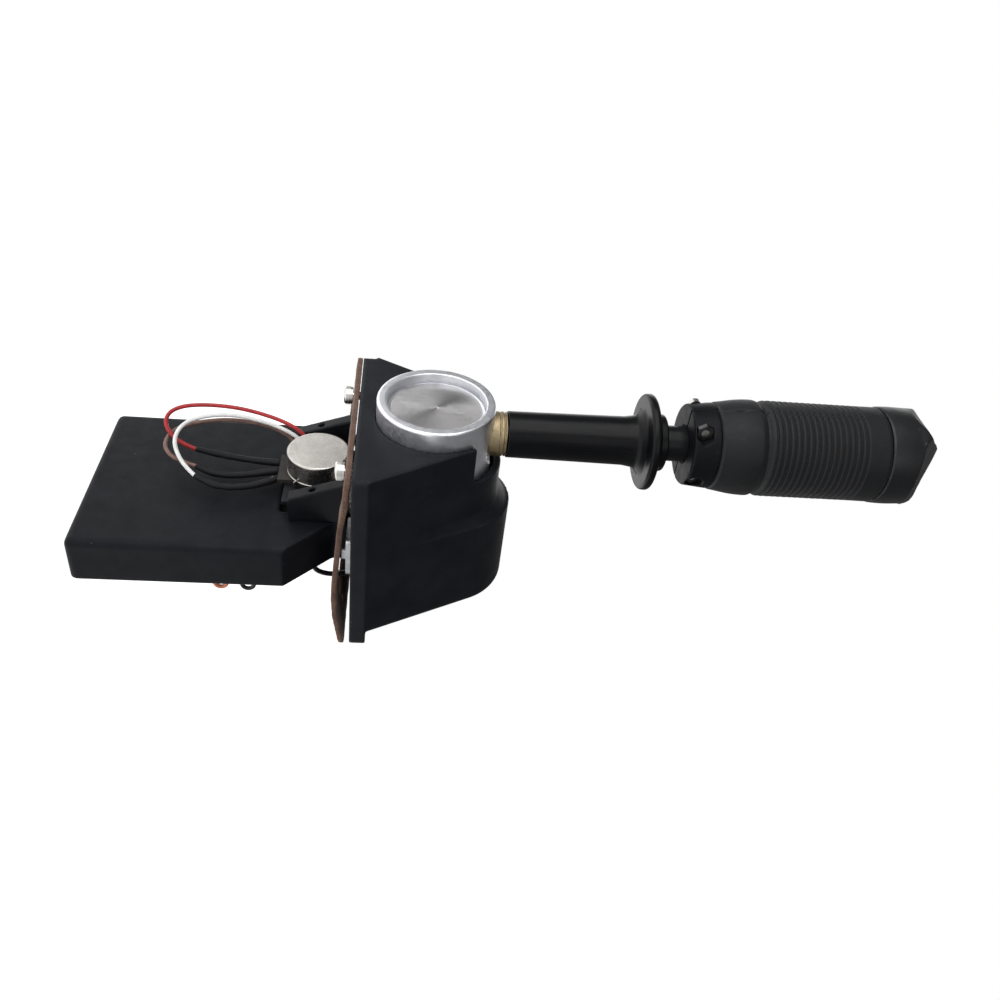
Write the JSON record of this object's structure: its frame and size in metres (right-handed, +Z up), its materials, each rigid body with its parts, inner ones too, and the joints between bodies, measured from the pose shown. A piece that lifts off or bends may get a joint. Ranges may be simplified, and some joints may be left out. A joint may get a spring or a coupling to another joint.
{
  "type": "panel joystick",
  "caption": "Single-axis control joystick: lift-to-release lever with a ribbed grip and thumb rocker, pivot hub in a cast panel housing, sensor and electronics box below.",
  "frame": {"origin": "centre of the flange's mounting face (its underside), on the panel plane", "axes": "+Z up along the upright lever; the lever's pivot axis is along X with the bright hub on the -X side; Y is across the flange"},
  "size_m": [0.0947, 0.086, 0.3328],
  "materials": {
    "housing_paint": "satin powder coat over a fine cast grain",
    "gasket_fibre": "matt cork and fibre sheet",
    "bright_screw": "bright nickel plate",
    "plated_steel": "zinc plate, satin",
    "dark_steel": "blackened steel, satin",
    "bracket_black": "satin black paint",
    "nickel_can": "satin nickel, lightly scuffed",
    "phenolic": "dark brown laminate",
    "tinned_lug": "tinned",
    "gear_nylon": "natural nylon",
    "brass_pinion": "machined",
    "box_plastic": "fine moulded grain",
    "potting_resin": "poured resin, semi-gloss",
    "wire_orange": "wire insulation",
    "wire_grey": "wire insulation",
    "wire_black": "wire insulation",
    "wire_blue": "wire insulation",
    "wire_red": "wire insulation",
    "wire_white": "wire insulation",
    "wire_brown": "wire insulation",
    "shrink_black": "heat-shrunk sleeve, satin",
    "hub_aluminium": "satin machined",
    "spun_aluminium": "radially spun",
    "bronze_bush": "sintered bronze",
    "spring_steel": "drawn wire",
    "switch_black": "moulded",
    "button_red": "moulded",
    "collar_brass": "turned, slightly aged",
    "moulded_black": "semi-gloss moulded nylon",
    "grip_plastic": "fine matt",
    "grip_rubber": "matt, ribbed",
    "boot_rubber": "satin moulded"
  },
  "bodies": {
    "base": {"housing": "housing_paint", "gasket": "gasket_fibre", "panel_screw_near": "bright_screw", "panel_screw_far": "bright_screw", "lock_washers": "bright_screw", "cross_strap": "plated_steel", "strap_screws": "plated_steel", "neck_screws": "plated_steel", "pot_bracket": "bracket_black", "bracket_pins": "dark_steel", "pot_can": "nickel_can", "pot_wafer": "phenolic", "pot_bushing": "plated_steel", "pot_nut": "plated_steel", "pot_lugs": "tinned_lug", "electronics_box": "box_plastic", "potting_fill": "potting_resin", "jumper_orange": "wire_orange", "jumper_grey": "wire_grey", "jumper_black": "wire_black", "jumper_blue": "wire_blue", "heat_shrink_red": "shrink_black", "heat_shrink_brown": "shrink_black", "heat_shrink_white": "shrink_black", "lead_red": "wire_red", "lead_white": "wire_white", "lead_brown": "wire_brown", "lead_switch": "wire_black", "lead_grommet": "shrink_black", "bush_hub_side": "bronze_bush", "bush_end_side": "bronze_bush", "spring_anchor": "plated_steel", "centring_spring": "spring_steel", "limit_switch": "switch_black", "switch_screws": "plated_steel"},
    "lever": {"pivot_hub": "hub_aluminium", "hub_cap": "spun_aluminium", "pivot_axle": "dark_steel", "retaining_clip": "dark_steel", "switch_cam": "gear_nylon", "sector_gear": "gear_nylon", "lever_rod": "plated_steel", "brass_collar": "collar_brass", "neck_bush": "moulded_black", "grip_half_near": "grip_plastic", "grip_half_far": "grip_plastic", "clamp_screw_1": "bright_screw", "clamp_screw_2": "bright_screw", "clamp_nuts": "bright_screw", "grip_rubber": "grip_rubber", "rocker_boot": "boot_rubber", "rocker_pin": "plated_steel", "switch_module": "switch_black", "lift_spring": "spring_steel"},
    "lift_sleeve": {"lift_sleeve": "moulded_black"},
    "thumb_rocker": {"rocker_paddle": "grip_plastic"},
    "pot_rotor": {"pot_shaft": "plated_steel", "pinion": "brass_pinion"},
    "switch_button_body": {"switch_button": "button_red"}
  },
  "joints": [
    {"name": "lever_tilt", "type": "hinge", "parent": "base", "child": "lever", "pos_m": [-0.0349, 0, 0.02915], "axis": [1, 0, 0], "range_deg": [-25, 25], "stiffness_Nm_per_rad": 3.5},
    {"name": "sleeve_lift", "type": "slide", "parent": "lever", "child": "lift_sleeve", "axis": [0, 0, 1], "range_m": [0, 0.005], "stiffness_N_per_m": 700, "springref_m": -0.008, "deforming": ["lift_spring"]},
    {"name": "rocker_tilt", "type": "hinge", "parent": "lever", "child": "thumb_rocker", "pos_m": [-0.0349, 0, 0.208], "axis": [1, 0, 0], "range_deg": [-8, 8], "stiffness_Nm_per_rad": 1.2, "deforming": ["rocker_boot"]},
    {"name": "pot_turn", "type": "hinge", "parent": "base", "child": "pot_rotor", "pos_m": [-0.01, 0, -0.01485], "axis": [1, 0, 0], "range_deg": [-86, 86]},
    {"name": "switch_press", "type": "slide", "parent": "base", "child": "switch_button_body", "axis": [0, 0, -1], "range_m": [0, 0.0006], "stiffness_N_per_m": 600, "springref_m": -0.001}
  ],
  "couplings": [
    {"joint": "pot_turn", "follows": "lever_tilt", "ratio": -3.4}
  ]
}
